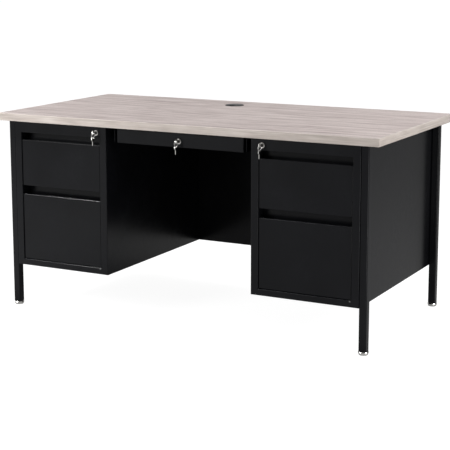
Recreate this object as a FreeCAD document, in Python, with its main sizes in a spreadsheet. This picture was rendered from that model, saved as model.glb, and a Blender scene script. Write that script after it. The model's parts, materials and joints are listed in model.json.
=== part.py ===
import FreeCAD, Part
import os
import re

import Sketcher

# A double-pedestal steel teacher desk with a laminate top, in millimetres.
# X runs to the right, Y to the back and Z up. The origin is on the floor, under the
# middle of the desktop. The user sits at the front, on the -Y side.

SIZES = {
    # how far a cutting tool runs past the surface it starts from
    "overrun": 1,
    # desktop
    "top_width": 1524, "top_depth": 762, "top_thickness": 28, "desk_height": 737,
    "band_thickness": 3, "band_radius": 1.5,
    # cable grommet
    "grommet_left": 88, "grommet_back": 245, "grommet_hole": 30, "grommet_flange": 36.5,
    "flange_rise": 2.6, "cap_radius": 30, "liner_bore": 27.5, "liner_drop": 26,
    "liner_clearance": 0.05, "flange_bevel": 1.6, "cap_clearance": 0.3, "cap_lift": 0.2,
    "cap_plug": 27.42, "cap_plug_wall": 2.4, "cap_plug_drop": 11, "notch_width": 24, "notch_depth": 17,
    # legs and glides
    "leg_size": 28, "leg_radius": 4, "tube_wall": 1.5, "leg_reach": 723, "leg_bottom": 13,
    "leg_front_setback": 14, "leg_back_setback": 18, "end_plate": 3,
    "stem_radius": 4, "stem_clearance": 0.06, "stem_length": 48, "glide_floor_radius": 15,
    "glide_rim_radius": 19, "glide_height": 12, "glide_rim": 3, "glide_bevel": 1.5,
    # pedestal cases
    "case_inner": 293, "case_bottom": 161, "case_front_setback": 12, "case_back": 356.5,
    "sheet": 1.5, "frame_depth": 40, "inner_stile": 28, "outer_stile": 27,
    "header_height": 41, "rail_height": 23, "bend_radius": 2, "flange_width": 20,
    "bracket_width": 40, "bracket_front_gap": 4, "bracket_back": 170,
    # modesty panel
    "modesty_front": 324, "modesty_depth": 20,
    # screws and buttons
    "screw_radius": 2.2, "screw_hole_radius": 2.6, "screw_head_radius": 4.5, "screw_head": 3,
    "screw_bite": 16, "button_radius": 2.6, "button_tip": 1.6, "button_height": 1.2, "button_inset": 5,
    "button_gap": 0.5,
    # pedestal drawers
    "drawer_gap": 1.5, "face_inset": 3, "pan_depth": 40, "pan_wall": 1.2, "pan_radius": 2.2,
    "lip_depth": 12, "lip_drop": 8,
    "upper_face_bottom": 467, "upper_face_height": 173, "lower_face_bottom": 185.5,
    "lower_face_height": 248.5, "tray_wall": 1.2, "tray_depth": 560,
    "upper_tray_bottom": 478, "upper_tray_height": 122, "upper_wall_top": 665,
    "lower_tray_bottom": 195, "lower_tray_height": 225, "lower_wall_top": 464,
    # ball-bearing slides
    "slide_thickness": 12.7, "slide_height": 45, "slide_length": 550, "slide_setback": 4,
    "slide_wall": 1.5, "middle_height": 37, "middle_length": 500, "member_height": 28,
    "slide_gap": 1.2, "slide_rise": 45,
    # centre drawer
    "centre_face_inset": 17, "centre_half_width": 255.5, "centre_face_bottom": 653,
    "centre_face_height": 52, "centre_pan_depth": 30, "centre_tray_half": 253,
    "centre_tray_bottom": 657, "centre_tray_height": 40, "centre_tray_depth": 380,
    "centre_slide_length": 360, "centre_slide_height": 678, "hanger_width": 15, "hanger_gap": 2,
    # locks, keys and rings
    "lock_reach": 335, "lock_height": 686, "centre_lock_height": 675, "bezel_radius": 10,
    "bezel_height": 2, "bezel_bevel": 1.2, "hole_clearance": 0.1, "housing_radius": 9,
    "housing_length": 20, "housing_bore": 6.55, "plug_radius": 6.5, "plug_proud": 1,
    "cam_gap": 0.3, "cam_thickness": 2, "cam_width": 10, "cam_length": 18,
    "keyway_width": 2.6, "keyway_height": 8.6, "blade_width": 8, "blade_length": 18,
    "key_thickness": 2, "bow_radius": 10, "bow_gap": 1.5, "key_hole_radius": 2.6, "key_hole_offset": 5,
    "ring_radius": 6.6, "ring_wire": 0.7, "ring_gap": 0.3, "spare_bow_radius": 9,
    "spare_hole_offset": 4.6, "spare_blade": 14, "spare_blade_width": 6.5,
    # gang-lock bars
    "bar_reach": 298, "bar_width": 12, "bar_thickness": 3, "bar_bottom": 190, "bar_top": 700,
    "bar_travel": 10, "bar_gap": 0.5, "tab_gap": 0.3, "tab_reach": 325, "tab_height": 4.7,
}

doc = FreeCAD.newDocument("teacher_desk")
sheet = doc.addObject("Spreadsheet::Sheet", "sizes")
for row, (alias, number) in enumerate(SIZES.items(), start=1):
    sheet.set("A%d" % row, alias)
    sheet.set("B%d" % row, str(number))
    sheet.setAlias("B%d" % row, alias)
doc.recompute()

# Levels and planes that many pieces share, as sums of the sheet's sizes.
UNDERSIDE = "(desk_height - top_thickness)"
FRONT = "(case_front_setback - top_depth / 2)"
FRAME_BACK = "(case_front_setback - top_depth / 2 + frame_depth)"
CASE_OUTER = "(leg_reach - leg_size)"
OPENING_INNER = "(case_inner + inner_stile)"
OPENING_OUTER = "(leg_reach - leg_size - outer_stile)"
FACE = FRONT + " + face_inset"
TRAY_FRONT = "(" + FACE + " + pan_depth)"
SLIDE_FRONT = "(" + TRAY_FRONT + " + slide_setback)"
CENTRE_FACE = "(" + FRONT + " + centre_face_inset)"
CENTRE_TRAY_FRONT = "(" + CENTRE_FACE + " + centre_pan_depth)"
SIDES = {"left": -1, "right": 1}
# Each wall of a drawer opening, with the sign that leads from it towards the drawer.
WALLS = {"inner": (OPENING_INNER, "+"), "outer": (OPENING_OUTER, "-")}

parts = []


def formula(text):
    """Gives every size named in the text the prefix of its sheet."""
    return re.sub(r"[a-z][a-z_]*", lambda word: "sizes." + word.group(0), str(text))


def bind(obj, prop, text):
    obj.setExpression(prop, formula(text))


def place(obj, x="0", y="0", z="0"):
    for axis, text in zip("xyz", (x, y, z)):
        bind(obj, "Placement.Base." + axis, text)
    return obj


def add(obj, label):
    """Makes the object a sub-part of the desk, under its own label."""
    obj.Label = label
    parts.append(obj)
    return obj


def span(side, near, far):
    """X interval of something that stands between two distances from the middle plane."""
    if side > 0:
        return near, far
    return "-(%s)" % far, "-(%s)" % near


# ---------------------------------------------------------------- Part primitives


def block(name, x, y, z):
    """Box between two formulas on each axis."""
    box = doc.addObject("Part::Box", name)
    for prop, (low, high) in zip(("Length", "Width", "Height"), (x, y, z)):
        bind(box, prop, "(%s) - (%s)" % (high, low))
    return place(box, x[0], y[0], z[0])


AXES = {
    "x": FreeCAD.Rotation(FreeCAD.Vector(0, 1, 0), 90),
    "y": FreeCAD.Rotation(FreeCAD.Vector(1, 0, 0), -90),
    "z": FreeCAD.Rotation(),
}


def rod(name, radius, length, x, y, z, axis="z"):
    """Cylinder that starts at x, y, z and runs along the positive axis."""
    cylinder = doc.addObject("Part::Cylinder", name)
    bind(cylinder, "Radius", radius)
    bind(cylinder, "Height", length)
    cylinder.Placement.Rotation = AXES[axis]
    return place(cylinder, x, y, z)


def taper(name, start_radius, end_radius, length, x, y, z, axis="z"):
    """Cone that starts at x, y, z and runs along the positive axis."""
    cone = doc.addObject("Part::Cone", name)
    bind(cone, "Radius1", start_radius)
    bind(cone, "Radius2", end_radius)
    bind(cone, "Height", length)
    cone.Placement.Rotation = AXES[axis]
    return place(cone, x, y, z)


def cut(name, base, *tools):
    result = base
    for index, tool in enumerate(tools, start=1):
        step = doc.addObject("Part::Cut", "%s_cut%d" % (name, index))
        step.Base = result
        step.Tool = tool
        result = step
    return result


def fuse(name, *shapes):
    whole = doc.addObject("Part::MultiFuse", name + "_fused")
    whole.Shapes = list(shapes)
    return whole


def group(name, shapes):
    """Identical pieces that stay separate solids in one sub-part."""
    together = doc.addObject("Part::Compound", name + "_group")
    together.Links = list(shapes)
    return together


# ---------------------------------------------------------------- PartDesign bodies


def new_body(label, x="0", y="0", z="0"):
    body = doc.addObject("PartDesign::Body", label + "_body")
    add(body, label)
    return place(body, x, y, z)


def new_sketch(body, name, plane, offset="0"):
    """Sketch on one of the body's origin planes, moved along the plane's normal."""
    sketch = body.newObject("Sketcher::SketchObject", "%s_%s" % (body.Label, name))
    support = [item for item in body.Origin.OriginFeatures if item.Role == plane][0]
    sketch.AttachmentSupport = [(support, "")]
    sketch.MapMode = "FlatFace"
    bind(sketch, "AttachmentOffset.Base.z", offset)
    return sketch


def dimension(sketch, kind, where, text):
    """Dimensional constraint that follows a formula."""
    index = sketch.addConstraint(Sketcher.Constraint(kind, *where, 1.0))
    name = "%s%d" % (kind.lower(), index)
    sketch.renameConstraint(index, name)
    bind(sketch, "Constraints." + name, text)


def locate(sketch, geometry, point, x, y):
    """Fixes a point of the sketch, which stays on an axis where its distance is zero."""
    if x == "0":
        sketch.addConstraint(Sketcher.Constraint("PointOnObject", geometry, point, -2))
    else:
        dimension(sketch, "DistanceX", (-1, 1, geometry, point), x)
    if y == "0":
        sketch.addConstraint(Sketcher.Constraint("PointOnObject", geometry, point, -1))
    else:
        dimension(sketch, "DistanceY", (-1, 1, geometry, point), y)


def rectangle(sketch, x, y, wide, tall):
    """Rectangle with its lower left corner at x, y."""
    corners = [FreeCAD.Vector(*corner, 0) for corner in ((1, 1), (2, 1), (2, 2), (1, 2))]
    first = sketch.GeometryCount
    for start, end in zip(corners, corners[1:] + corners[:1]):
        sketch.addGeometry(Part.LineSegment(start, end))
    for line in range(4):
        joint = (first + line, 2, first + (line + 1) % 4, 1)
        sketch.addConstraint(Sketcher.Constraint("Coincident", *joint))
        direction = "Vertical" if line % 2 else "Horizontal"
        sketch.addConstraint(Sketcher.Constraint(direction, first + line))
    locate(sketch, first, 1, x, y)
    dimension(sketch, "DistanceX", (first, 1, first, 2), wide)
    dimension(sketch, "DistanceY", (first + 1, 1, first + 1, 2), tall)


def circle(sketch, x, y, radius):
    centre = FreeCAD.Vector(1, 1, 0)
    index = sketch.addGeometry(Part.Circle(centre, FreeCAD.Vector(0, 0, 1), 1))
    locate(sketch, index, 3, x, y)
    dimension(sketch, "Radius", (index,), radius)


def pad(body, sketch, length):
    feature = body.newObject("PartDesign::Pad", sketch.Name + "_pad")
    feature.Profile = sketch
    bind(feature, "Length", length)
    doc.recompute()
    return feature


def pocket(body, sketch, length, towards_normal=False):
    """Removes the sketch's area, against its plane's normal unless told otherwise."""
    before = body.Shape.Volume
    feature = body.newObject("PartDesign::Pocket", sketch.Name + "_pocket")
    feature.Profile = sketch
    feature.Reversed = towards_normal
    bind(feature, "Length", length)
    doc.recompute()
    if not body.Shape.Volume < before:
        raise ValueError("%s removes nothing" % feature.Name)
    return feature


def fillet(body, radius, chosen):
    """Rounds the edges of the body for which chosen(edge) is true."""
    base = body.Tip
    names = ["Edge%d" % index for index, edge in enumerate(base.Shape.Edges, start=1) if chosen(edge)]
    feature = body.newObject("PartDesign::Fillet", "%s_fillet" % base.Name)
    feature.Base = (base, names)
    bind(feature, "Radius", radius)
    doc.recompute()


def on_plane(axis, level):
    """Test for edges that lie wholly in one plane."""
    def chosen(edge):
        return all(abs(getattr(vertex, axis) - level) < 1e-4 for vertex in edge.Vertexes)
    return chosen


def is_upright(edge):
    box = edge.BoundBox
    return box.XLength < 1e-4 and box.YLength < 1e-4


# ---------------------------------------------------------------- desktop and grommet


def desktop():
    core = new_body("desktop", "band_thickness - top_width / 2", "band_thickness - top_depth / 2", UNDERSIDE)
    outline = new_sketch(core, "outline", "XY_Plane")
    rectangle(outline, "0", "0", "top_width - 2 * band_thickness", "top_depth - 2 * band_thickness")
    pad(core, outline, "top_thickness")
    hole = new_sketch(core, "cable_hole", "XY_Plane", "top_thickness")
    across = "top_width / 2 - band_thickness - grommet_left"
    circle(hole, across, "top_depth / 2 - band_thickness + grommet_back", "grommet_hole")
    pocket(core, hole, "top_thickness")

    band = new_body("edge_band", "-top_width / 2", "-top_depth / 2", UNDERSIDE)
    outline = new_sketch(band, "outline", "XY_Plane")
    rectangle(outline, "0", "0", "top_width", "top_depth")
    pad(band, outline, "top_thickness")
    fillet(band, "band_radius", lambda edge: True)
    inside = new_sketch(band, "inside", "XY_Plane", "top_thickness")
    wide = "top_width - 2 * band_thickness"
    rectangle(inside, "band_thickness", "band_thickness", wide, "top_depth - 2 * band_thickness")
    pocket(band, inside, "top_thickness")


def grommet():
    """A liner pressed into the desktop's hole and a cap that turns in it."""
    here = ("-grommet_left", "grommet_back")
    seat = "desk_height + flange_rise / 2"
    sleeve_bottom = "desk_height - liner_drop"
    sleeve = rod("liner_sleeve", "grommet_hole - liner_clearance", "liner_drop", *here, sleeve_bottom)
    plate = rod("liner_plate", "grommet_flange", "flange_rise / 2", *here, "desk_height")
    rim_top = "grommet_flange - flange_bevel"
    rim = taper("liner_rim", "grommet_flange", rim_top, "flange_rise / 2", *here, seat)
    bore = rod("liner_bore_tool", "liner_bore", "liner_drop + flange_rise", *here, sleeve_bottom)
    recess = rod("liner_recess", "cap_radius + cap_clearance", "flange_rise / 2", *here, seat)
    whole = fuse("grommet_liner", sleeve, plate, rim)
    add(cut("grommet_liner", whole, bore, recess), "grommet_liner")

    disc_bottom = seat + " + cap_lift"
    plug_bottom = disc_bottom + " - cap_plug_drop"
    disc = rod("cap_disc", "cap_radius", "flange_rise / 2 - cap_lift", *here, disc_bottom)
    plug = rod("cap_plug_ring", "cap_plug", "cap_plug_drop", *here, plug_bottom)
    hollow = rod("cap_hollow", "cap_plug - cap_plug_wall", "cap_plug_drop", *here, plug_bottom)
    notch_x = ("-grommet_left - notch_width / 2", "-grommet_left + notch_width / 2")
    notch_y = ("grommet_back - cap_radius - overrun", "grommet_back - cap_radius + notch_depth")
    notch_z = (plug_bottom + " - overrun", disc_bottom + " + flange_rise")
    notch = block("cap_notch", notch_x, notch_y, notch_z)
    ring = cut("cap_ring", plug, hollow)
    add(cut("grommet_cap", fuse("grommet_cap", disc, ring), notch), "grommet_cap")


# ---------------------------------------------------------------- legs and glides


def leg(label, side, y):
    """Square tube with a plate welded in its foot, which is bored for the glide's stem."""
    body = new_body(label, span(side, CASE_OUTER, "leg_reach")[0], y, "leg_bottom")
    outline = new_sketch(body, "outline", "XY_Plane")
    rectangle(outline, "0", "0", "leg_size", "leg_size")
    pad(body, outline, UNDERSIDE + " - leg_bottom")
    fillet(body, "leg_radius", is_upright)
    inside = new_sketch(body, "inside", "XY_Plane", UNDERSIDE + " - leg_bottom")
    clear = "leg_size - 2 * tube_wall"
    rectangle(inside, "tube_wall", "tube_wall", clear, clear)
    pocket(body, inside, UNDERSIDE + " - leg_bottom - end_plate")
    bore = new_sketch(body, "bore", "XY_Plane", "end_plate")
    circle(bore, "leg_size / 2", "leg_size / 2", "stem_radius + stem_clearance")
    pocket(body, bore, "end_plate")


def glide(label, side, y):
    """Pressed nickel foot on a threaded stem."""
    x = span(side, CASE_OUTER, "leg_reach")[0] + " + leg_size / 2"
    here = (x, y + " + leg_size / 2")
    foot_height = "glide_height - glide_rim"
    foot = taper(label + "_foot", "glide_floor_radius", "glide_rim_radius", foot_height, *here, "0")
    rim_top = "glide_rim_radius - glide_bevel"
    rim = taper(label + "_rim", "glide_rim_radius", rim_top, "glide_rim", *here, foot_height)
    stem = rod(label + "_stem", "stem_radius", "stem_length", *here, "glide_height")
    add(fuse(label, foot, rim, stem), label)


def legs_and_glides():
    rows = {
        "front": "leg_front_setback - top_depth / 2",
        "rear": "top_depth / 2 - leg_back_setback - leg_size",
    }
    for row, y in rows.items():
        for name, side in SIDES.items():
            leg("leg_%s_%s" % (row, name), side, y)
            glide("glide_%s_%s" % (row, name), side, y)


# ---------------------------------------------------------------- pedestal cases


def front_frame(name, side):
    """Welded frame of folded steel: two stiles, a header with the lock's hole and a bottom rail."""
    label = "front_frame_" + name
    wide = CASE_OUTER + " - case_inner"
    tall = UNDERSIDE + " - case_bottom"
    left_stile = "inner_stile" if side > 0 else "outer_stile"
    opening_wide = wide + " - inner_stile - outer_stile"
    opening_tall = tall + " - header_height - rail_height"
    body = new_body(label, span(side, "case_inner", CASE_OUTER)[0], FRONT, "case_bottom")
    outline = new_sketch(body, "outline", "XY_Plane")
    rectangle(outline, "0", "0", wide, "frame_depth")
    pad(body, outline, tall)
    opening = new_sketch(body, "opening", "XZ_Plane")
    rectangle(opening, left_stile, "rail_height", opening_wide, opening_tall)
    pocket(body, opening, "frame_depth")
    fillet(body, "bend_radius", on_plane("Y", 0))
    hollow = new_sketch(body, "hollow", "XZ_Plane", "-frame_depth")
    rectangle(hollow, "sheet", "sheet", wide + " - 2 * sheet", tall + " - 2 * sheet")
    rectangle(hollow, left_stile + " - sheet", "rail_height - sheet",
              opening_wide + " + 2 * sheet", opening_tall + " + 2 * sheet")
    pocket(body, hollow, "frame_depth - sheet", towards_normal=True)
    hole = new_sketch(body, "lock_hole", "XZ_Plane", "-sheet")
    from_left = "lock_reach - case_inner" if side > 0 else CASE_OUTER + " - lock_reach"
    circle(hole, from_left, "lock_height - case_bottom", "housing_radius + hole_clearance")
    pocket(body, hole, "sheet", towards_normal=True)


SCREW_DEPTHS = ("-top_depth * 0.3", "0", "top_depth * 0.3")


def screw_x(side, near_side):
    """X of the screws in a side panel's top flange."""
    reach = "case_inner + flange_width / 2" if near_side else CASE_OUTER + " - flange_width / 2"
    return reach if side > 0 else "-(%s)" % reach


def side_panel(label, side, inner):
    """Side sheet with a flange folded in under the desktop."""
    if inner:
        web, lid = ("case_inner", "case_inner + sheet"), ("case_inner", "case_inner + flange_width")
    else:
        web, lid = (CASE_OUTER + " - sheet", CASE_OUTER), (CASE_OUTER + " - flange_width", CASE_OUTER)
    depth = (FRAME_BACK, "case_back")
    sheet_block = block(label + "_web", span(side, *web), depth, ("case_bottom", UNDERSIDE))
    flange = block(label + "_flange", span(side, *lid), depth, (UNDERSIDE + " - sheet", UNDERSIDE))
    holes = [
        rod("%s_hole%d" % (label, index), "screw_hole_radius", "2 * sheet", screw_x(side, inner), y,
            UNDERSIDE + " - 1.5 * sheet")
        for index, y in enumerate(SCREW_DEPTHS)
    ]
    add(cut(label, fuse(label, sheet_block, flange), *holes), label)


def rear_panel(name, side):
    """Sheet across the back of the pedestal, folded forward at its top."""
    label = "rear_panel_" + name
    wide = span(side, "case_inner + sheet", CASE_OUTER + " - sheet")
    web = block(label + "_web", wide, ("case_back - sheet", "case_back"),
                ("case_bottom", UNDERSIDE + " - sheet"))
    lip = span(side, "case_inner + 2 * flange_width", CASE_OUTER + " - 2 * flange_width")
    flange = block(label + "_lip", lip, ("case_back - flange_width", "case_back"),
                   (UNDERSIDE + " - 2 * sheet", UNDERSIDE + " - sheet"))
    add(fuse(label, web, flange), label)


def bottom_pan(name, side):
    """Floor of the pedestal with its front and back edges folded up."""
    label = "bottom_pan_" + name
    wide = span(side, "case_inner + sheet", CASE_OUTER + " - sheet")
    back = "case_back - sheet"
    floor = block(label + "_floor", wide, (FRAME_BACK, back), ("case_bottom", "case_bottom + sheet"))
    edge = ("case_bottom", "case_bottom + flange_width")
    front_edge = block(label + "_front", wide, (FRAME_BACK, FRAME_BACK + " + sheet"), edge)
    back_edge = block(label + "_back", wide, (back + " - sheet", back), edge)
    add(fuse(label, floor, front_edge, back_edge), label)


def slide_brackets():
    """Folded posts that bring the slides out to the edges of the drawer openings."""
    posts = []
    front = FRAME_BACK + " + bracket_front_gap"
    depths = {
        "front": (front, front + " + bracket_width"),
        "back": ("bracket_back", "bracket_back + bracket_width"),
    }
    widths = {
        "inner": ("case_inner + sheet", OPENING_INNER),
        "outer": (OPENING_OUTER, CASE_OUTER + " - sheet"),
    }
    hollows = {
        "inner": ("case_inner", OPENING_INNER + " - sheet"),
        "outer": (OPENING_OUTER + " + sheet", CASE_OUTER),
    }
    tall = ("case_bottom + 2 * sheet", UNDERSIDE + " - 2 * sheet")
    for name, side in SIDES.items():
        for row, (low, high) in depths.items():
            for wall in WALLS:
                tag = "bracket_%s_%s_%s" % (name, row, wall)
                post = block(tag, span(side, *widths[wall]), (low, high), tall)
                inside = block(tag + "_inside", span(side, *hollows[wall]),
                               (low + " + sheet", high + " - sheet"), tall)
                posts.append(cut(tag, post, inside))
    add(group("slide_brackets", posts), "slide_brackets")


def modesty_panel():
    """Pan between the pedestals, folded back on all four edges."""
    depth = ("modesty_front", "modesty_front + modesty_depth")
    outside = block("modesty_outside", ("-case_inner", "case_inner"), depth, ("case_bottom", UNDERSIDE))
    inside = block("modesty_inside", ("sheet - case_inner", "case_inner - sheet"),
                   ("modesty_front + sheet", "modesty_front + modesty_depth + overrun"),
                   ("case_bottom + sheet", UNDERSIDE + " - sheet"))
    add(cut("modesty_panel", outside, inside), "modesty_panel")


def top_screws():
    screws = []
    for name, side in SIDES.items():
        for near_side in (True, False):
            for index, y in enumerate(SCREW_DEPTHS):
                tag = "screw_%s_%d_%d" % (name, near_side, index)
                here = (screw_x(side, near_side), y)
                neck = UNDERSIDE + " - sheet"
                head = rod(tag + "_head", "screw_head_radius", "screw_head", *here, neck + " - screw_head")
                shank = rod(tag + "_shank", "screw_radius", "screw_bite", *here, neck)
                screws.append(fuse(tag, head, shank))
    add(group("top_screws", screws), "top_screws")


def rail_buttons():
    """One small button on each bottom rail, under the right-hand corner of the drawer."""
    right_ends = {"left": "-(%s) - button_inset" % OPENING_INNER, "right": OPENING_OUTER + " - button_inset"}
    z = "case_bottom + rail_height - button_radius - button_gap"
    buttons = [
        taper("button_" + name, "button_tip", "button_radius", "button_height", x,
              FRONT + " - button_height", z, axis="y")
        for name, x in right_ends.items()
    ]
    add(group("rail_buttons", buttons), "rail_buttons")


def cases():
    for name, side in SIDES.items():
        front_frame(name, side)
        side_panel("inner_side_" + name, side, inner=True)
        side_panel("outer_side_" + name, side, inner=False)
        rear_panel(name, side)
        bottom_pan(name, side)
    slide_brackets()
    modesty_panel()
    top_screws()
    rail_buttons()


# ---------------------------------------------------------------- drawers


def folded_pan(label, x, y, z, wide, tall, depth):
    """Drawer face: a pan of sheet steel, open at the back, with rounded front edges."""
    body = new_body(label, x, y, z)
    outline = new_sketch(body, "outline", "XY_Plane")
    rectangle(outline, "0", "0", wide, depth)
    pad(body, outline, tall)
    fillet(body, "pan_radius", on_plane("Y", 0))
    hollow = new_sketch(body, "hollow", "XZ_Plane", "-(%s)" % depth)
    rectangle(hollow, "pan_wall", "pan_wall", "(%s) - 2 * pan_wall" % wide, "(%s) - 2 * pan_wall" % tall)
    pocket(body, hollow, "(%s) - pan_wall" % depth, towards_normal=True)
    return body


def drawer_front(label, side, z, tall):
    """Pan with its top edge folded back and down, so fingers reach in behind it."""
    x = span(side, OPENING_INNER + " + drawer_gap", OPENING_OUTER + " - drawer_gap")[0]
    wide = OPENING_OUTER + " - " + OPENING_INNER + " - 2 * drawer_gap"
    body = folded_pan(label, x, FACE, z, wide, tall, "pan_depth")
    clear = wide + " - 2 * pan_wall"
    slot = new_sketch(body, "finger_slot", "XY_Plane", tall)
    rectangle(slot, "pan_wall", "lip_depth", clear, "pan_depth - lip_depth")
    pocket(body, slot, "2 * pan_wall")
    lip = new_sketch(body, "lip", "XY_Plane", tall + " - lip_drop")
    rectangle(lip, "pan_wall / 2", "lip_depth - pan_wall", wide + " - pan_wall", "pan_wall")
    pad(body, lip, "lip_drop - pan_wall / 2")


def tray(label, x, y, z, wall_x, wall_top):
    """Open box of sheet steel whose front wall may be wider and higher than the rest."""
    (x_low, x_high), (y_low, y_high), (z_low, z_high) = x, y, z
    outside = block(label + "_outside", x, y, z)
    inside = block(label + "_inside", (x_low + " + tray_wall", x_high + " - tray_wall"),
                   (y_low + " + tray_wall", y_high + " - tray_wall"),
                   (z_low + " + tray_wall", z_high + " + overrun"))
    box = cut(label + "_box", outside, inside)
    wall = block(label + "_wall", wall_x, (y_low, y_low + " + tray_wall"), (z_low, wall_top))
    add(fuse(label, box, wall), label)


def from_wall(wall, low, high):
    """Distances from the middle plane, counted from a wall of the opening towards the drawer."""
    base, sign = WALLS[wall]
    ends = ("%s %s (%s)" % (base, sign, low), "%s %s (%s)" % (base, sign, high))
    return ends if wall == "inner" else ends[::-1]


def channel(tag, outside, hollow, length, height, z):
    """C-shaped slide member, given by its outer X interval and that of its hollow."""
    half = "(%s) / 2" % height
    steel = block(tag, outside, length, ("%s - %s" % (z, half), "%s + %s" % (z, half)))
    inner = "((%s) / 2 - slide_wall)" % height
    space = block(tag + "_hollow", hollow, length, ("%s - %s" % (z, inner), "%s + %s" % (z, inner)))
    return cut(tag, steel, space)


def slide_members(tag, side, outside, hollow, length, height, z):
    """The same member of the slides on both walls of a drawer opening."""
    return [
        channel("%s_%s" % (tag, wall), span(side, *from_wall(wall, *outside)),
                span(side, *from_wall(wall, *hollow)), length, height, z)
        for wall in WALLS
    ]


# Bottom and height of the face, bottom and height of the tray, and top of its front wall.
LEVELS = {
    "upper": ("upper_face_bottom", "upper_face_height", "upper_tray_bottom", "upper_tray_height",
              "upper_wall_top"),
    "lower": ("lower_face_bottom", "lower_face_height", "lower_tray_bottom", "lower_tray_height",
              "lower_wall_top"),
}


def drawer_tray(which, side, bottom, height, wall_top):
    wide = span(side, OPENING_INNER + " + slide_thickness", OPENING_OUTER + " - slide_thickness")
    wall = span(side, OPENING_INNER + " + drawer_gap", OPENING_OUTER + " - drawer_gap")
    tray("drawer_tray_" + which, wide, (TRAY_FRONT, TRAY_FRONT + " + tray_depth"),
         (bottom, bottom + " + " + height), wall, wall_top)


def drawer_slides(which, side, z):
    """The three members of a drawer's slides; returns the ones that stay on the case."""
    full = (SLIDE_FRONT, SLIDE_FRONT + " + slide_length")
    edge = "slide_thickness - slide_gap"
    cabinet = slide_members("cabinet_" + which, side, ("0", edge), ("slide_wall", "slide_thickness"),
                            full, "slide_height", z)

    label = "slide_middle_" + which
    web = "slide_wall + slide_gap"
    middle = slide_members(label, side, (web, edge + " - slide_wall"),
                           (web + " + slide_wall", "slide_thickness"),
                           (SLIDE_FRONT, SLIDE_FRONT + " + middle_length"), "middle_height", z)
    add(group(label, middle), label)

    label = "slide_drawer_member_" + which
    flange = web + " + slide_wall + slide_gap"
    moving = slide_members(label, side, (flange, "slide_thickness"),
                           ("slide_wall", "slide_thickness - slide_wall"), full, "member_height", z)
    add(group(label, moving), label)
    return cabinet


def pedestal_drawers():
    cabinet_members = []
    for name, side in SIDES.items():
        for level, (face_bottom, face_height, tray_bottom, tray_height, wall_top) in LEVELS.items():
            which = "%s_%s" % (level, name)
            drawer_front("drawer_front_" + which, side, face_bottom, face_height)
            drawer_tray(which, side, tray_bottom, tray_height, wall_top)
            cabinet_members += drawer_slides(which, side, tray_bottom + " + slide_rise")
    add(group("slide_cabinet_members", cabinet_members), "slide_cabinet_members")


def centre_drawer_pieces():
    """Shallow drawer between the pedestals: its face, bored for the lock, and its tray."""
    body = folded_pan("centre_drawer_front", "-centre_half_width", CENTRE_FACE, "centre_face_bottom",
                      "2 * centre_half_width", "centre_face_height", "centre_pan_depth")
    hole = new_sketch(body, "lock_hole", "XZ_Plane", "-pan_wall")
    circle(hole, "centre_half_width", "centre_lock_height - centre_face_bottom",
           "housing_radius + hole_clearance")
    pocket(body, hole, "pan_wall", towards_normal=True)

    top = "centre_tray_bottom + centre_tray_height"
    wide = ("-centre_tray_half", "centre_tray_half")
    tray("centre_drawer_tray", wide, (CENTRE_TRAY_FRONT, CENTRE_TRAY_FRONT + " + centre_tray_depth"),
         ("centre_tray_bottom", top), wide, top)


def centre_runners():
    """Rails on brackets that hang from the desktop, and the members on the drawer's sides."""
    start = CENTRE_TRAY_FRONT + " + slide_setback"
    back = start + " + centre_slide_length"
    web = "centre_tray_half + slide_thickness"
    fixed, moving = [], []
    for name, side in SIDES.items():
        rail = channel("centre_rail_" + name, span(side, "centre_tray_half + slide_gap", web),
                       span(side, "centre_tray_half", web + " - slide_wall"),
                       (start, back), "slide_height", "centre_slide_height")
        plate = block("hanger_plate_" + name, span(side, web, web + " + sheet"),
                      (CENTRE_FACE + " + hanger_gap", back), ("centre_face_bottom + hanger_gap", UNDERSIDE))
        ear = block("hanger_ear_" + name, span(side, web, web + " + hanger_width"),
                    (CENTRE_TRAY_FRONT, back), (UNDERSIDE + " - sheet", UNDERSIDE))
        fixed.append(fuse("centre_runner_" + name, rail, plate, ear))
        reach = span(side, "centre_tray_half", web + " - slide_wall - slide_gap")
        hollow = span(side, "centre_tray_half + slide_wall", web)
        moving.append(channel("centre_member_" + name, reach, hollow, (start, back), "middle_height",
                              "centre_slide_height"))
    add(group("centre_runners_fixed", fixed), "centre_runners_fixed")
    add(group("centre_runners_moving", moving), "centre_runners_moving")


# ---------------------------------------------------------------- locks, keys and lock bars


def lock_housing(tag, x, z, face):
    """Barrel with a bezel that stands on the face of the drawer or header."""
    proud = "(%s) - bezel_height" % face
    half = "bezel_height / 2"
    bevel = taper(tag + "_bevel", "bezel_radius - bezel_bevel", "bezel_radius", half, x, proud, z, axis="y")
    ring = rod(tag + "_ring", "bezel_radius", half, x, proud + " + " + half, z, axis="y")
    barrel = rod(tag + "_barrel", "housing_radius", "housing_length", x, face, z, axis="y")
    length = "housing_length + bezel_height + 2 * overrun"
    bore = rod(tag + "_bore", "housing_bore", length, x, proud + " - overrun", z, axis="y")
    return cut(tag, fuse(tag, bevel, ring, barrel), bore)


def lock_plug(label, x, z, face):
    """Plug that turns in the housing, with its keyway in front and its cam behind."""
    front = "(%s) - bezel_height - plug_proud" % face
    behind = "(%s) + housing_length + cam_gap" % face
    length = "bezel_height + plug_proud + housing_length + cam_gap"
    core = rod(label + "_core", "plug_radius", length, x, front, z, axis="y")
    keyway = block(label + "_keyway", (x + " - keyway_width / 2", x + " + keyway_width / 2"),
                   (front + " - overrun", front + " + blade_length + overrun"),
                   (z + " - keyway_height / 2", z + " + keyway_height / 2"))
    cam_depth = (behind, behind + " + cam_thickness")
    hub = rod(label + "_hub", "plug_radius", "cam_thickness", x, behind, z, axis="y")
    arm = block(label + "_cam", (x + " - cam_width / 2", x + " + cam_width / 2"), cam_depth,
                (z, z + " + cam_length"))
    add(fuse(label, cut(label, core, keyway), hub, arm), label)


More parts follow.
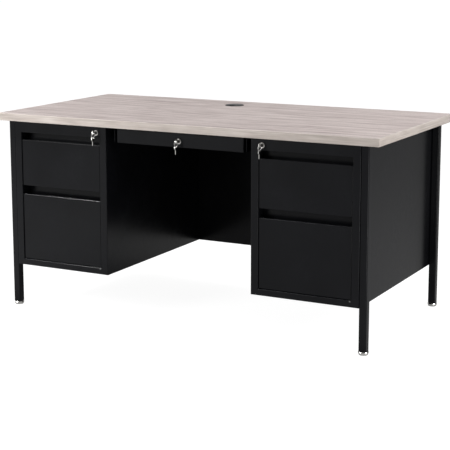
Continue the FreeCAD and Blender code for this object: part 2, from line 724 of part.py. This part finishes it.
def key(tag, x, bow_y, bow_z, bow_radius, hole_y, hole_z, blade_y, blade_z):
    """Flat key in an upright plane: a round bow with a hole, and a blade."""
    left = x + " - key_thickness / 2"
    bow = rod(tag + "_bow", bow_radius, "key_thickness", left, bow_y, bow_z, axis="x")
    blade = block(tag + "_blade", (left, left + " + key_thickness"), blade_y, blade_z)
    length = "key_thickness + 2 * overrun"
    hole = rod(tag + "_hole", "key_hole_radius", length, left + " - overrun", hole_y, hole_z, axis="x")
    return cut(tag, fuse(tag, bow, blade), hole)


def key_and_ring(name, x, z, face):
    """The key in the plug, and the split ring that hangs from it with the spare key."""
    front = "((%s) - bezel_height - plug_proud)" % face
    bow_y = front + " - bow_gap - bow_radius"
    hole_y = bow_y + " - key_hole_offset"
    half_blade = "blade_width / 2"
    label = "lock_key_" + name
    add(key(label, x, bow_y, z, "bow_radius", hole_y, z, (bow_y, front + " + blade_length"),
            ("%s - %s" % (z, half_blade), "%s + %s" % (z, half_blade))), label)

    ring_z = z + " - key_hole_radius + ring_wire + ring_gap - ring_radius"
    ring = doc.addObject("Part::Torus", "ring_" + name)
    bind(ring, "Radius1", "ring_radius")
    bind(ring, "Radius2", "ring_wire")
    ring.Placement.Rotation = AXES["y"]
    place(ring, x, hole_y, ring_z)
    spare_hole = ring_z + " - ring_radius - key_hole_radius + ring_wire + ring_gap"
    spare_bow = spare_hole + " - spare_hole_offset"
    blade_low = spare_bow + " - spare_bow_radius - spare_blade"
    half_blade = "spare_blade_width / 2"
    spare = key("spare_key_" + name, x, hole_y, spare_bow, "spare_bow_radius", hole_y, spare_hole,
                (hole_y + " - " + half_blade, hole_y + " + " + half_blade), (blade_low, spare_bow))
    label = "key_ring_" + name
    add(group(label, [ring, spare]), label)


def lock_bar(name, side):
    """Flat bar inside the inner stile, with a tab that the lock's cam pushes down."""
    label = "lock_bar_" + name
    cam_front = FRONT + " + housing_length + cam_gap"
    bar_front = cam_front + " + cam_thickness + bar_gap"
    depth = (bar_front, bar_front + " + bar_thickness")
    bar = block(label + "_bar", span(side, "bar_reach", "bar_reach + bar_width"), depth,
                ("bar_bottom", "bar_top"))
    tab_top = "lock_height - cam_width / 2 - tab_gap + bar_travel"
    tab = block(label + "_tab", span(side, "bar_reach + bar_width - overrun", "tab_reach"),
                (cam_front, depth[1]), (tab_top + " - tab_height", tab_top))
    add(fuse(label, bar, tab), label)


def locks():
    housings = []
    for name, side in SIDES.items():
        x = span(side, "lock_reach", "lock_reach")[0]
        housings.append(lock_housing("housing_" + name, x, "lock_height", FRONT))
        lock_plug("lock_plug_" + name, x, "lock_height", FRONT)
        key_and_ring(name, x, "lock_height", FRONT)
        lock_bar(name, side)
    add(group("pedestal_lock_housings", housings), "pedestal_lock_housings")
    add(lock_housing("centre_lock_housing", "0", "centre_lock_height", CENTRE_FACE), "centre_lock_housing")
    lock_plug("lock_plug_centre", "0", "centre_lock_height", CENTRE_FACE)
    key_and_ring("centre", "0", "centre_lock_height", CENTRE_FACE)


def check_and_export():
    doc.recompute()
    failed = [obj.Name for obj in doc.Objects if {"Invalid", "Error"} & set(obj.State)]
    if failed:
        raise ValueError("these objects failed: %s" % ", ".join(failed))
    for piece in parts:
        if piece.Shape.isNull() or not piece.Shape.isValid() or not piece.Shape.Solids:
            raise ValueError("%s has no valid solid" % piece.Label)
    os.makedirs("parts", exist_ok=True)
    for piece in parts:
        piece.Shape.exportStep("parts/%s.step" % piece.Label)
    print("%d sub-parts" % len(parts))


desktop()
grommet()
legs_and_glides()
cases()
pedestal_drawers()
centre_drawer_pieces()
centre_runners()
locks()
check_and_export()
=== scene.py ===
import json
import math

import bpy
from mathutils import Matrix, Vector

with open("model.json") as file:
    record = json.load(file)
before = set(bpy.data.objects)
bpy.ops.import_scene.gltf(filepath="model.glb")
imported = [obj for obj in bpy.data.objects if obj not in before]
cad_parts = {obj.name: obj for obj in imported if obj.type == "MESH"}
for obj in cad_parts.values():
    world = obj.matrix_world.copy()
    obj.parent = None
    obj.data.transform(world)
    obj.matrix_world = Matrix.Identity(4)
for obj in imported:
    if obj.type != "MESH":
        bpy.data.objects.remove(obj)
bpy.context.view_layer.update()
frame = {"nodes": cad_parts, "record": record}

scene = bpy.context.scene
scene.view_settings.view_transform = "Standard"


# ---------------------------------------------------------------- node graphs


class Graph:
    """A material's node tree, built one node at a time."""

    def __init__(self, name):
        self.material = bpy.data.materials.new(name)
        self.material.use_nodes = True
        self.tree = self.material.node_tree
        self.tree.nodes.clear()
        self.coordinates = self.node("ShaderNodeTexCoord").outputs["Object"]

    def node(self, kind, **inputs):
        made = self.tree.nodes.new(kind)
        for name, value in inputs.items():
            self.feed(made.inputs[name.replace("_", " ")], value)
        return made

    def feed(self, socket, value):
        if isinstance(value, bpy.types.NodeSocket):
            self.tree.links.new(value, socket)
        else:
            socket.default_value = value

    def stretched(self, scale, offset=(0, 0, 0)):
        """Coordinates in metres, multiplied by a scale along each axis."""
        made = self.node("ShaderNodeMapping", Vector=self.coordinates, Scale=scale, Location=offset)
        return made.outputs[0]

    def noise(self, scale, detail=3.0, roughness=0.5, offset=(0, 0, 0), distortion=0.0):
        """Noise whose scale is a number of features for each metre, on each axis."""
        along = scale if isinstance(scale, tuple) else (scale,) * 3
        made = self.node("ShaderNodeTexNoise", Vector=self.stretched(along, offset), Scale=1.0,
                         Detail=detail, Roughness=roughness, Distortion=distortion)
        return made.outputs["Fac"]

    def cells(self, scale):
        """Voronoi cells, as many for each metre as the scale says."""
        return self.node("ShaderNodeTexVoronoi", Vector=self.stretched((scale,) * 3), Scale=1.0)

    def math(self, operation, a, b=0.0):
        made = self.node("ShaderNodeMath")
        made.operation = operation
        self.feed(made.inputs[0], a)
        self.feed(made.inputs[1], b)
        return made.outputs[0]

    def remap(self, value, low, high, to_low, to_high):
        return self.node("ShaderNodeMapRange", Value=value, From_Min=low, From_Max=high,
                         To_Min=to_low, To_Max=to_high).outputs[0]

    def ramp(self, value, *stops):
        """Colour ramp; each stop is a place and a colour."""
        made = self.node("ShaderNodeValToRGB", Fac=value)
        elements = made.color_ramp.elements
        while len(elements) < len(stops):
            elements.new(0.5)
        for element, (place, colour) in zip(elements, stops):
            element.position = place
            element.color = (*colour, 1.0)
        return made.outputs["Color"]

    def mix(self, factor, a, b, blend="MIX"):
        made = self.node("ShaderNodeMix")
        made.data_type = "RGBA"
        made.blend_type = blend
        self.feed(made.inputs["Factor"], factor)
        for name, value in (("A", a), ("B", b)):
            socket = next(s for s in made.inputs if s.name == name and s.type == "RGBA")
            self.feed(socket, value if isinstance(value, bpy.types.NodeSocket) else (*value, 1.0))
        return next(s for s in made.outputs if s.type == "RGBA")

    def bump(self, height, distance, strength=1.0, under=None):
        made = self.node("ShaderNodeBump", Height=height, Distance=distance, Strength=strength)
        if under is not None:
            self.feed(made.inputs["Normal"], under)
        return made.outputs[0]

    def upwards(self):
        """Height of the surface's normal: 1 on top, 0 on walls and -1 underneath."""
        turned = self.node("ShaderNodeTexCoord").outputs["Normal"]
        return self.node("ShaderNodeSeparateXYZ", Vector=turned).outputs["Z"]

    def finish(self, **inputs):
        shader = self.node("ShaderNodeBsdfPrincipled", **inputs)
        self.node("ShaderNodeOutputMaterial", Surface=shader.outputs[0])
        return self.material


# ---------------------------------------------------------------- materials


GROWTH_LINES_PER_METRE = 34
GROWTH_LINE_DRIFT = 14
BAND_SHARE, STREAK_SHARE, FIBRE_SHARE = 0.36, 0.30, 0.14


def laminate():
    """Weathered ash print in greyed taupe, with its grain along the desk, over a chipboard core."""
    g = Graph("weathered_ash_laminate")
    across = g.node("ShaderNodeSeparateXYZ", Vector=g.coordinates).outputs["Y"]
    drift = g.noise((0.8, 5, 5), detail=3, roughness=0.45, distortion=0.3)
    rings = g.math("ADD", g.math("MULTIPLY", across, GROWTH_LINES_PER_METRE),
                   g.math("MULTIPLY", drift, GROWTH_LINE_DRIFT))
    growth = g.math("PINGPONG", rings, 1.0)
    bands = g.noise((3.4, 38, 38), detail=4, roughness=0.6, offset=(3, 1, 0), distortion=0.35)
    streaks = g.noise((8, 190, 190), detail=5, roughness=0.65, offset=(1, 3, 0), distortion=0.2)
    fibres = g.noise((24, 900, 900), detail=3, roughness=0.6, offset=(0, 5, 0))
    grain = g.remap(growth, 0.0, 1.0, 0.07, 0.13)
    for layer, share in ((bands, BAND_SHARE), (streaks, STREAK_SHARE), (fibres, FIBRE_SHARE)):
        grain = g.math("ADD", grain, g.math("MULTIPLY", layer, share))
    face = g.ramp(grain, (0.40, (0.285, 0.225, 0.214)), (0.46, (0.395, 0.328, 0.314)),
                  (0.51, (0.485, 0.414, 0.397)), (0.59, (0.590, 0.515, 0.496)))
    pores = g.remap(g.noise((30, 1500, 1500), detail=2, offset=(7, 0, 2)), 0.30, 0.42, 0.72, 1.0)
    darkened = g.node("ShaderNodeCombineColor", Red=pores, Green=pores, Blue=pores).outputs[0]
    face = g.mix(1.0, face, darkened, "MULTIPLY")
    chips = g.ramp(g.cells(420).outputs["Distance"], (0.0, (0.22, 0.14, 0.08)), (0.6, (0.42, 0.30, 0.19)),
                   (1.0, (0.52, 0.40, 0.27)))
    backer = g.ramp(g.noise(60, detail=4), (0.35, (0.085, 0.060, 0.045)), (0.65, (0.120, 0.088, 0.066)))
    up = g.upwards()
    colour = g.mix(g.remap(up, -0.6, -0.4, 1.0, 0.0), chips, backer)
    colour = g.mix(g.remap(up, 0.4, 0.6, 0.0, 1.0), colour, face)
    emboss = g.bump(g.noise((30, 900, 900), detail=3, offset=(7, 0, 2)), 0.00006, 0.6)
    rough = g.remap(streaks, 0.3, 0.7, 0.58, 0.48)
    return g.finish(Base_Color=colour, Roughness=rough, Normal=emboss, Specular_IOR_Level=0.22)


def edge_band():
    """Plastic edging in the top's colours, its fine grain along each edge."""
    g = Graph("ash_edge_band")
    lines = g.noise((5, 5, 330), detail=4, roughness=0.6, distortion=0.3)
    patches = g.noise((9, 9, 40), detail=3, offset=(2, 4, 1))
    grain = g.math("ADD", g.math("MULTIPLY", lines, 0.6), g.math("MULTIPLY", patches, 0.4))
    colour = g.ramp(grain, (0.38, (0.375, 0.326, 0.294)), (0.50, (0.485, 0.427, 0.388)),
                    (0.62, (0.575, 0.518, 0.478)))
    emboss = g.bump(g.noise((40, 40, 1200), detail=2), 0.00005, 0.5)
    return g.finish(Base_Color=colour, Roughness=g.remap(lines, 0.3, 0.7, 0.48, 0.38), Normal=emboss,
                    Specular_IOR_Level=0.4)


def black_steel():
    """Satin black powder coat with the fine pebble of sprayed paint."""
    g = Graph("satin_black_powder_coat")
    drift = g.noise(6, detail=3)
    speck = g.noise(1600, detail=2, offset=(1, 2, 3))
    colour = g.ramp(g.math("ADD", g.math("MULTIPLY", drift, 0.7), g.math("MULTIPLY", speck, 0.3)),
                    (0.35, (0.0026, 0.0027, 0.0034)), (0.65, (0.0040, 0.0042, 0.0053)))
    rough = g.math("ADD", g.remap(drift, 0.3, 0.7, 0.22, 0.27), g.remap(speck, 0.3, 0.7, -0.02, 0.03))
    peel = g.bump(g.noise(380, detail=2), 0.00006, 0.3)
    pebble = g.bump(g.noise(1500, detail=2, roughness=0.6), 0.00003, 0.4, under=peel)
    return g.finish(Base_Color=colour, Roughness=rough, Normal=pebble, Specular_IOR_Level=0.15)


def zinc_steel():
    """Bright zinc plate with a faint spangle and rolling marks along the slides."""
    g = Graph("zinc_plated_steel")
    spangle = g.cells(240).outputs["Color"]
    tone = g.node("ShaderNodeSeparateColor", Color=spangle).outputs[0]
    marks = g.noise((900, 12, 900), detail=3, offset=(4, 0, 4))
    colour = g.ramp(g.math("ADD", g.math("MULTIPLY", tone, 0.35), g.math("MULTIPLY", marks, 0.65)),
                    (0.25, (0.46, 0.47, 0.49)), (0.75, (0.66, 0.67, 0.69)))
    rough = g.math("ADD", g.remap(marks, 0.3, 0.7, 0.24, 0.36), g.math("MULTIPLY", tone, 0.08))
    return g.finish(Base_Color=colour, Metallic=1.0, Roughness=rough, Normal=g.bump(marks, 0.00003, 0.4))


def bright_nickel():
    """Polished nickel plate with hairline turning marks and slight tarnish."""
    g = Graph("bright_nickel_plate")
    haze = g.noise(90, detail=4)
    hairlines = g.noise((2200, 2200, 160), detail=2, offset=(2, 6, 1))
    colour = g.ramp(haze, (0.35, (0.74, 0.72, 0.69)), (0.65, (0.90, 0.89, 0.87)))
    rough = g.math("ADD", g.remap(haze, 0.3, 0.7, 0.10, 0.18), g.remap(hairlines, 0.3, 0.7, 0.0, 0.08))
    return g.finish(Base_Color=colour, Metallic=1.0, Roughness=rough, Normal=g.bump(hairlines, 0.00002, 0.3))


def plug_nickel_painted_shade():
    """Nickel lock plug coloured dark as painted shade for the lock's shadowed centre, with lighter patches
    at random.
    """
    g = Graph("lock_plug_painted_shade")
    wear = g.noise(420, detail=4, roughness=0.65)
    colour = g.ramp(wear, (0.40, (0.035, 0.034, 0.033)), (0.68, (0.16, 0.155, 0.15)))
    return g.finish(Base_Color=colour, Metallic=1.0, Roughness=g.remap(wear, 0.3, 0.7, 0.42, 0.24),
                    Normal=g.bump(wear, 0.00002, 0.4))


def charcoal_plastic():
    """Moulded charcoal plastic with a spark-eroded grain."""
    g = Graph("charcoal_moulded_plastic")
    grain = g.noise(1300, detail=3, roughness=0.65)
    wear = g.noise(35, detail=3, offset=(5, 1, 0))
    colour = g.ramp(wear, (0.35, (0.012, 0.012, 0.013)), (0.65, (0.020, 0.020, 0.021)))
    rough = g.math("ADD", g.remap(grain, 0.3, 0.7, 0.42, 0.56), g.remap(wear, 0.3, 0.7, -0.04, 0.04))
    emboss = g.bump(grain, 0.00010, 0.5)
    return g.finish(Base_Color=colour, Roughness=rough, Normal=emboss, Specular_IOR_Level=0.25)


def grey_rubber():
    """Soft rubber with a dusty bloom."""
    g = Graph("grey_rubber_bumper")
    bloom = g.noise(600, detail=4)
    colour = g.ramp(bloom, (0.3, (0.10, 0.10, 0.10)), (0.7, (0.17, 0.17, 0.165)))
    return g.finish(Base_Color=colour, Roughness=g.remap(bloom, 0.3, 0.7, 0.65, 0.85),
                    Normal=g.bump(bloom, 0.00008, 0.5))


FINISHES = {
    "laminate": laminate(),
    "edge_band": edge_band(),
    "black_steel": black_steel(),
    "zinc_steel": zinc_steel(),
    "bright_nickel": bright_nickel(),
    "charcoal_plastic": charcoal_plastic(),
    "grey_rubber": grey_rubber(),
}
# the plug takes a dark copy of the nickel in place of its own finish: painted shade
PLUG_PAINTED_SHADE = plug_nickel_painted_shade()
for subpart in frame["record"]["subparts"]:
    is_plug = subpart["node"].startswith("lock_plug")
    mesh = frame["nodes"][subpart["node"]].data
    mesh.materials.clear()
    mesh.materials.append(PLUG_PAINTED_SHADE if is_plug else FINISHES[subpart["material_slot"]])


# ---------------------------------------------------------------- camera, floor and light


CAMERA_TURN = 27.604
CAMERA_DIP = 9.797
DESK_HALF_WIDTH, DESK_HALF_DEPTH = 0.75, 0.42
FLOOR_HALF = 60.0
FLOOR_GLOW = 0.93
WHITE = (1, 1, 1, 1)
FLOOR_GREY = (0.25, 0.25, 0.25, 1)


def camera():
    """Long lens from the front right, turned and dipped towards the desk."""
    made = bpy.data.objects.new("camera", bpy.data.cameras.new("camera"))
    scene.collection.objects.link(made)
    made.location = (2.2733, -4.3066, 1.3242)
    made.rotation_euler = (math.radians(90 - CAMERA_DIP), 0, math.radians(CAMERA_TURN))
    made.data.lens = 104.8
    made.data.sensor_width = 36
    made.data.shift_x = -0.012
    made.data.shift_y = -0.1
    scene.camera = made


def floor():
    """White floor that glows; the camera sees it evenly white, but the glow the steel reflects is a painted
    pool of light that dims to the right and in front, with painted shade under the desk.
    """
    corners = [(x * FLOOR_HALF, y * FLOOR_HALF, 0) for x, y in ((-1, -1), (1, -1), (1, 1), (-1, 1))]
    mesh = bpy.data.meshes.new("floor")
    mesh.from_pydata(corners, [], [(0, 1, 2, 3)])
    made = bpy.data.objects.new("floor", mesh)
    scene.collection.objects.link(made)
    g = Graph("white_studio_floor")
    place = g.node("ShaderNodeSeparateXYZ", Vector=g.coordinates)
    x, y = place.outputs["X"], place.outputs["Y"]
    # painted pool of light: the glow seen in reflections fades to the right and away in front
    painted_light_pool = g.math("MULTIPLY", g.remap(x, -1.05, -0.65, 1.0, 0.46), g.remap(x, 0.72, 0.95, 1.0, 0.42))
    painted_light_pool = g.math("MULTIPLY", painted_light_pool, g.remap(y, -3.4, -1.5, 0.7, 1.0))
    # painted shade under the desk: the reflected glow drops to 0.3 over the desk's footprint
    reach = g.math("MAXIMUM", g.math("DIVIDE", g.math("ABSOLUTE", x), DESK_HALF_WIDTH),
                   g.math("DIVIDE", g.math("ABSOLUTE", y), DESK_HALF_DEPTH))
    painted_light_pool = g.math("MULTIPLY", painted_light_pool, g.remap(reach, 0.9, 1.15, 0.3, 1.0))
    seen = g.node("ShaderNodeLightPath").outputs["Is Camera Ray"]
    matt = g.node("ShaderNodeBsdfDiffuse", Color=FLOOR_GREY)
    strength = g.math("MULTIPLY", g.math("MAXIMUM", painted_light_pool, seen), FLOOR_GLOW)
    glow = g.node("ShaderNodeEmission", Color=WHITE, Strength=strength)
    both = g.node("ShaderNodeAddShader")
    g.feed(both.inputs[0], matt.outputs[0])
    g.feed(both.inputs[1], glow.outputs[0])
    g.node("ShaderNodeOutputMaterial", Surface=both.outputs[0])
    mesh.materials.append(g.material)


def softbox(name, place, target, size, power, lit=None):
    """Rectangular lamp; one that only lights a few pieces takes the collection that holds them."""
    lamp = bpy.data.lights.new(name, "AREA")
    lamp.shape = "RECTANGLE"
    lamp.size, lamp.size_y = size
    lamp.energy = power
    made = bpy.data.objects.new(name, lamp)
    scene.collection.objects.link(made)
    made.location = place
    made.visible_camera = False
    made.rotation_euler = (Vector(target) - Vector(place)).to_track_quat("-Z", "Y").to_euler()
    if lit is not None:
        made.light_linking.receiver_collection = lit


def sky():
    """White sky; the light from it dims overhead, to the right and on the viewer's side."""
    world = bpy.data.worlds.new("studio")
    world.use_nodes = True
    nodes, links = world.node_tree.nodes, world.node_tree.links
    direction = nodes.new("ShaderNodeSeparateXYZ")
    links.new(nodes.new("ShaderNodeTexCoord").outputs["Generated"], direction.inputs[0])
    shades = []
    spans = (("Z", 0.05, 0.7, 1.0, 0.5), ("Y", -0.9, 0.0, 0.4, 1.0), ("X", 0.1, 0.7, 1.0, 0.4))
    for axis, low, high, at_low, at_high in spans:
        shade = nodes.new("ShaderNodeMapRange")
        links.new(direction.outputs[axis], shade.inputs["Value"])
        sockets = ("From Min", "From Max", "To Min", "To Max")
        for socket, number in zip(sockets, (low, high, at_low, at_high)):
            shade.inputs[socket].default_value = number
        shades.append(shade.outputs[0])
    total = shades[0]
    for shade in shades[1:]:
        product = nodes.new("ShaderNodeMath")
        product.operation = "MULTIPLY"
        links.new(total, product.inputs[0])
        links.new(shade, product.inputs[1])
        total = product.outputs[0]
    seen = nodes.new("ShaderNodeMath")
    seen.operation = "MAXIMUM"
    links.new(total, seen.inputs[0])
    links.new(nodes.new("ShaderNodeLightPath").outputs["Is Camera Ray"], seen.inputs[1])
    links.new(seen.outputs[0], nodes["Background"].inputs["Strength"])
    nodes["Background"].inputs["Color"].default_value = WHITE
    scene.world = world


def wearing(name, *slots):
    """Collection of the pieces whose material slot is one of those named."""
    made = bpy.data.collections.new(name)
    for subpart in frame["record"]["subparts"]:
        if subpart["material_slot"] in slots:
            made.objects.link(frame["nodes"][subpart["node"]])
    return made


def studio():
    """White sky, four softboxes, and three small lamps for the bright lines along the folds."""
    sky()
    softbox("key_overhead_left", (-1.7, -0.5, 2.2), (-0.3, -0.1, 0.7), size=(1.0, 1.0), power=17)
    softbox("fill_overhead_right", (1.6, 1.2, 2.6), (0.3, 0.0, 0.7), size=(1.8, 1.8), power=34)
    softbox("front_left", (-1.5, -2.4, 1.45), (-0.4, -0.38, 0.7), size=(1.0, 1.0), power=43)
    softbox("side_right", (2.3, -0.6, 1.3), (0.76, 0.0, 0.7), size=(0.8, 0.8), power=25)

    painted = wearing("painted_steel", "black_steel")
    edges = wearing("steel_and_edge_band", "black_steel", "edge_band")
    softbox("rim_above", (-1.35, -0.56, 2.05), (-1.35, -0.56, 0.0), size=(0.8, 0.2), power=85, lit=painted)
    softbox("rim_along", (-0.65, -0.56, 2.05), (-0.65, -0.56, 0.0), size=(1.6, 0.2), power=12, lit=edges)
    softbox("rim_right", (1.4, -1.05, 0.28), (0.3, -0.36, 0.3), size=(0.6, 0.55), power=6, lit=painted)


camera()
floor()
studio()
